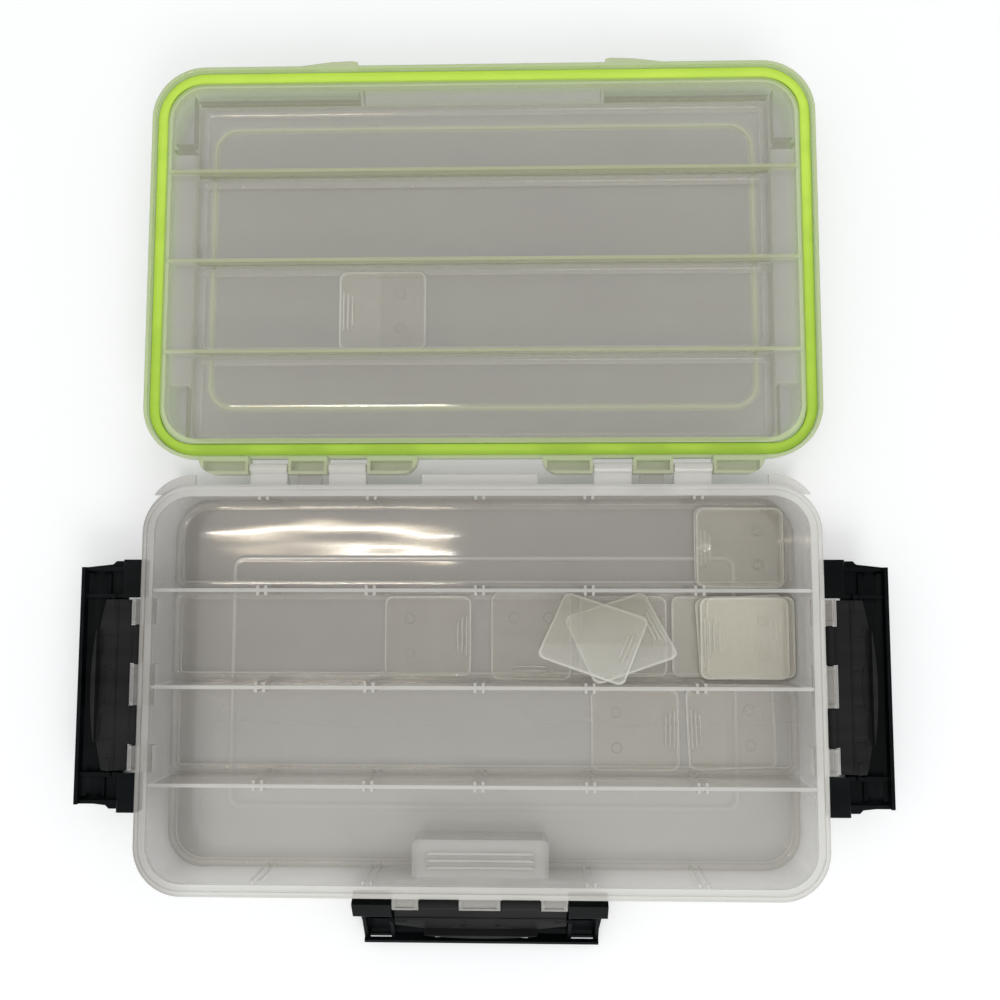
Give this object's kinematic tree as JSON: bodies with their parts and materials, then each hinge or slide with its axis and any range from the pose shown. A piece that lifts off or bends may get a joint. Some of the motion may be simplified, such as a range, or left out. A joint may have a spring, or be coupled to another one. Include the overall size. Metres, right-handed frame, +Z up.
{
  "type": "waterproof tackle box",
  "caption": "Flat translucent waterproof tackle box lying open, with a rowed tray, a gasketed lid folded back, swing-out latches and loose dividers.",
  "frame": {"origin": "middle of the tray's underside, on the table", "axes": "+X along the rows to the right, +Y from the front latch to the hinge, +Z up"},
  "size_m": [0.4066, 0.4526, 0.038],
  "materials": {
    "tray_plastic": "milky translucent polypropylene",
    "lid_plastic": "milky translucent polypropylene",
    "seal": "lime green soft seal",
    "hook": "dark grey moulded plastic",
    "lever": "black moulded plastic",
    "divider": "clear moulded plastic"
  },
  "bodies": {
    "tray": {"base_tray": "tray_plastic"},
    "lid": {"lid": "lid_plastic", "lid_seal": "seal"},
    "left_hook": {"left_latch_hook": "hook"},
    "left_lever": {"left_latch_lever": "lever"},
    "right_hook": {"right_latch_hook": "hook"},
    "right_lever": {"right_latch_lever": "lever"},
    "front_hook": {"front_latch_hook": "hook"},
    "front_lever": {"front_latch_lever": "lever"},
    "lid_divider": {"lid_divider": "divider"},
    "back_row_divider_1": {"back_row_divider_1": "divider"},
    "back_row_divider_2": {"back_row_divider_2": "divider"},
    "second_row_divider_1": {"second_row_divider_1": "divider"},
    "second_row_divider_2": {"second_row_divider_2": "divider"},
    "second_row_divider_3": {"second_row_divider_3": "divider"},
    "second_row_divider_4": {"second_row_divider_4": "divider"},
    "second_row_divider_5": {"second_row_divider_5": "divider"},
    "second_row_divider_6": {"second_row_divider_6": "divider"},
    "second_row_divider_7": {"second_row_divider_7": "divider"},
    "second_row_divider_8": {"second_row_divider_8": "divider"},
    "second_row_divider_9": {"second_row_divider_9": "divider"},
    "third_row_divider_1": {"third_row_divider_1": "divider"},
    "third_row_divider_2": {"third_row_divider_2": "divider"}
  },
  "joints": [
    {"name": "lid_hinge", "type": "hinge", "parent": "tray", "child": "lid", "pos_m": [0, 0.1083, 0.0346], "axis": [-1, 0, 0], "range_deg": [-180, 0]},
    {"name": "left_hook_hinge", "type": "hinge", "parent": "tray", "child": "left_hook", "pos_m": [-0.1744, 0, 0.0225], "axis": [0, -1, 0], "range_deg": [-90, 39]},
    {"name": "left_lever_hinge", "type": "hinge", "parent": "left_hook", "child": "left_lever", "pos_m": [-0.1874, 0, 0.0225], "axis": [0, -1, 0], "range_deg": [-8, 0]},
    {"name": "right_hook_hinge", "type": "hinge", "parent": "tray", "child": "right_hook", "pos_m": [0.1744, 0, 0.0225], "axis": [0, 1, 0], "range_deg": [-90, 39]},
    {"name": "right_lever_hinge", "type": "hinge", "parent": "right_hook", "child": "right_lever", "pos_m": [0.1874, 0, 0.0225], "axis": [0, 1, 0], "range_deg": [-8, 0]},
    {"name": "front_hook_hinge", "type": "hinge", "parent": "tray", "child": "front_hook", "pos_m": [0, -0.1062, 0.0225], "axis": [1, 0, 0], "range_deg": [-129, 0]},
    {"name": "front_lever_hinge", "type": "hinge", "parent": "front_hook", "child": "front_lever", "pos_m": [0, -0.1163, 0.01432], "axis": [1, 0, 0], "range_deg": [-8, 0]},
    {"name": "lid_divider_lift", "type": "slide", "parent": "lid", "child": "lid_divider", "axis": [0, 0, 1], "range_m": [0, 0.04]},
    {"name": "back_row_divider_1_lift", "type": "slide", "parent": "tray", "child": "back_row_divider_1", "axis": [0, 0, 1], "range_m": [0, 0.04]},
    {"name": "back_row_divider_2_lift", "type": "slide", "parent": "back_row_divider_1", "child": "back_row_divider_2", "axis": [0, 0, 1], "range_m": [0, 0.04]},
    {"name": "second_row_divider_1_lift", "type": "slide", "parent": "tray", "child": "second_row_divider_1", "axis": [0, 0, 1], "range_m": [0, 0.04]},
    {"name": "second_row_divider_2_lift", "type": "slide", "parent": "tray", "child": "second_row_divider_2", "axis": [0, 0, 1], "range_m": [0, 0.04]},
    {"name": "second_row_divider_3_lift", "type": "slide", "parent": "second_row_divider_2", "child": "second_row_divider_3", "axis": [0, 0, 1], "range_m": [0, 0.04]},
    {"name": "second_row_divider_4_lift", "type": "slide", "parent": "second_row_divider_3", "child": "second_row_divider_4", "axis": [0, 0, 1], "range_m": [0, 0.04]},
    {"name": "second_row_divider_5_lift", "type": "slide", "parent": "second_row_divider_4", "child": "second_row_divider_5", "axis": [0, 0, 1], "range_m": [0, 0.04]},
    {"name": "second_row_divider_6_lift", "type": "slide", "parent": "tray", "child": "second_row_divider_6", "axis": [0, 0, 1], "range_m": [0, 0.04]},
    {"name": "second_row_divider_7_lift", "type": "slide", "parent": "second_row_divider_6", "child": "second_row_divider_7", "axis": [0, 0, 1], "range_m": [0, 0.04]},
    {"name": "second_row_divider_8_lift", "type": "slide", "parent": "second_row_divider_7", "child": "second_row_divider_8", "axis": [0, 0, 1], "range_m": [0, 0.04]},
    {"name": "second_row_divider_9_lift", "type": "slide", "parent": "second_row_divider_8", "child": "second_row_divider_9", "axis": [0, 0, 1], "range_m": [0, 0.04]},
    {"name": "third_row_divider_1_lift", "type": "slide", "parent": "tray", "child": "third_row_divider_1", "axis": [0, 0, 1], "range_m": [0, 0.04]},
    {"name": "third_row_divider_2_lift", "type": "slide", "parent": "tray", "child": "third_row_divider_2", "axis": [0, 0, 1], "range_m": [0, 0.04]}
  ]
}
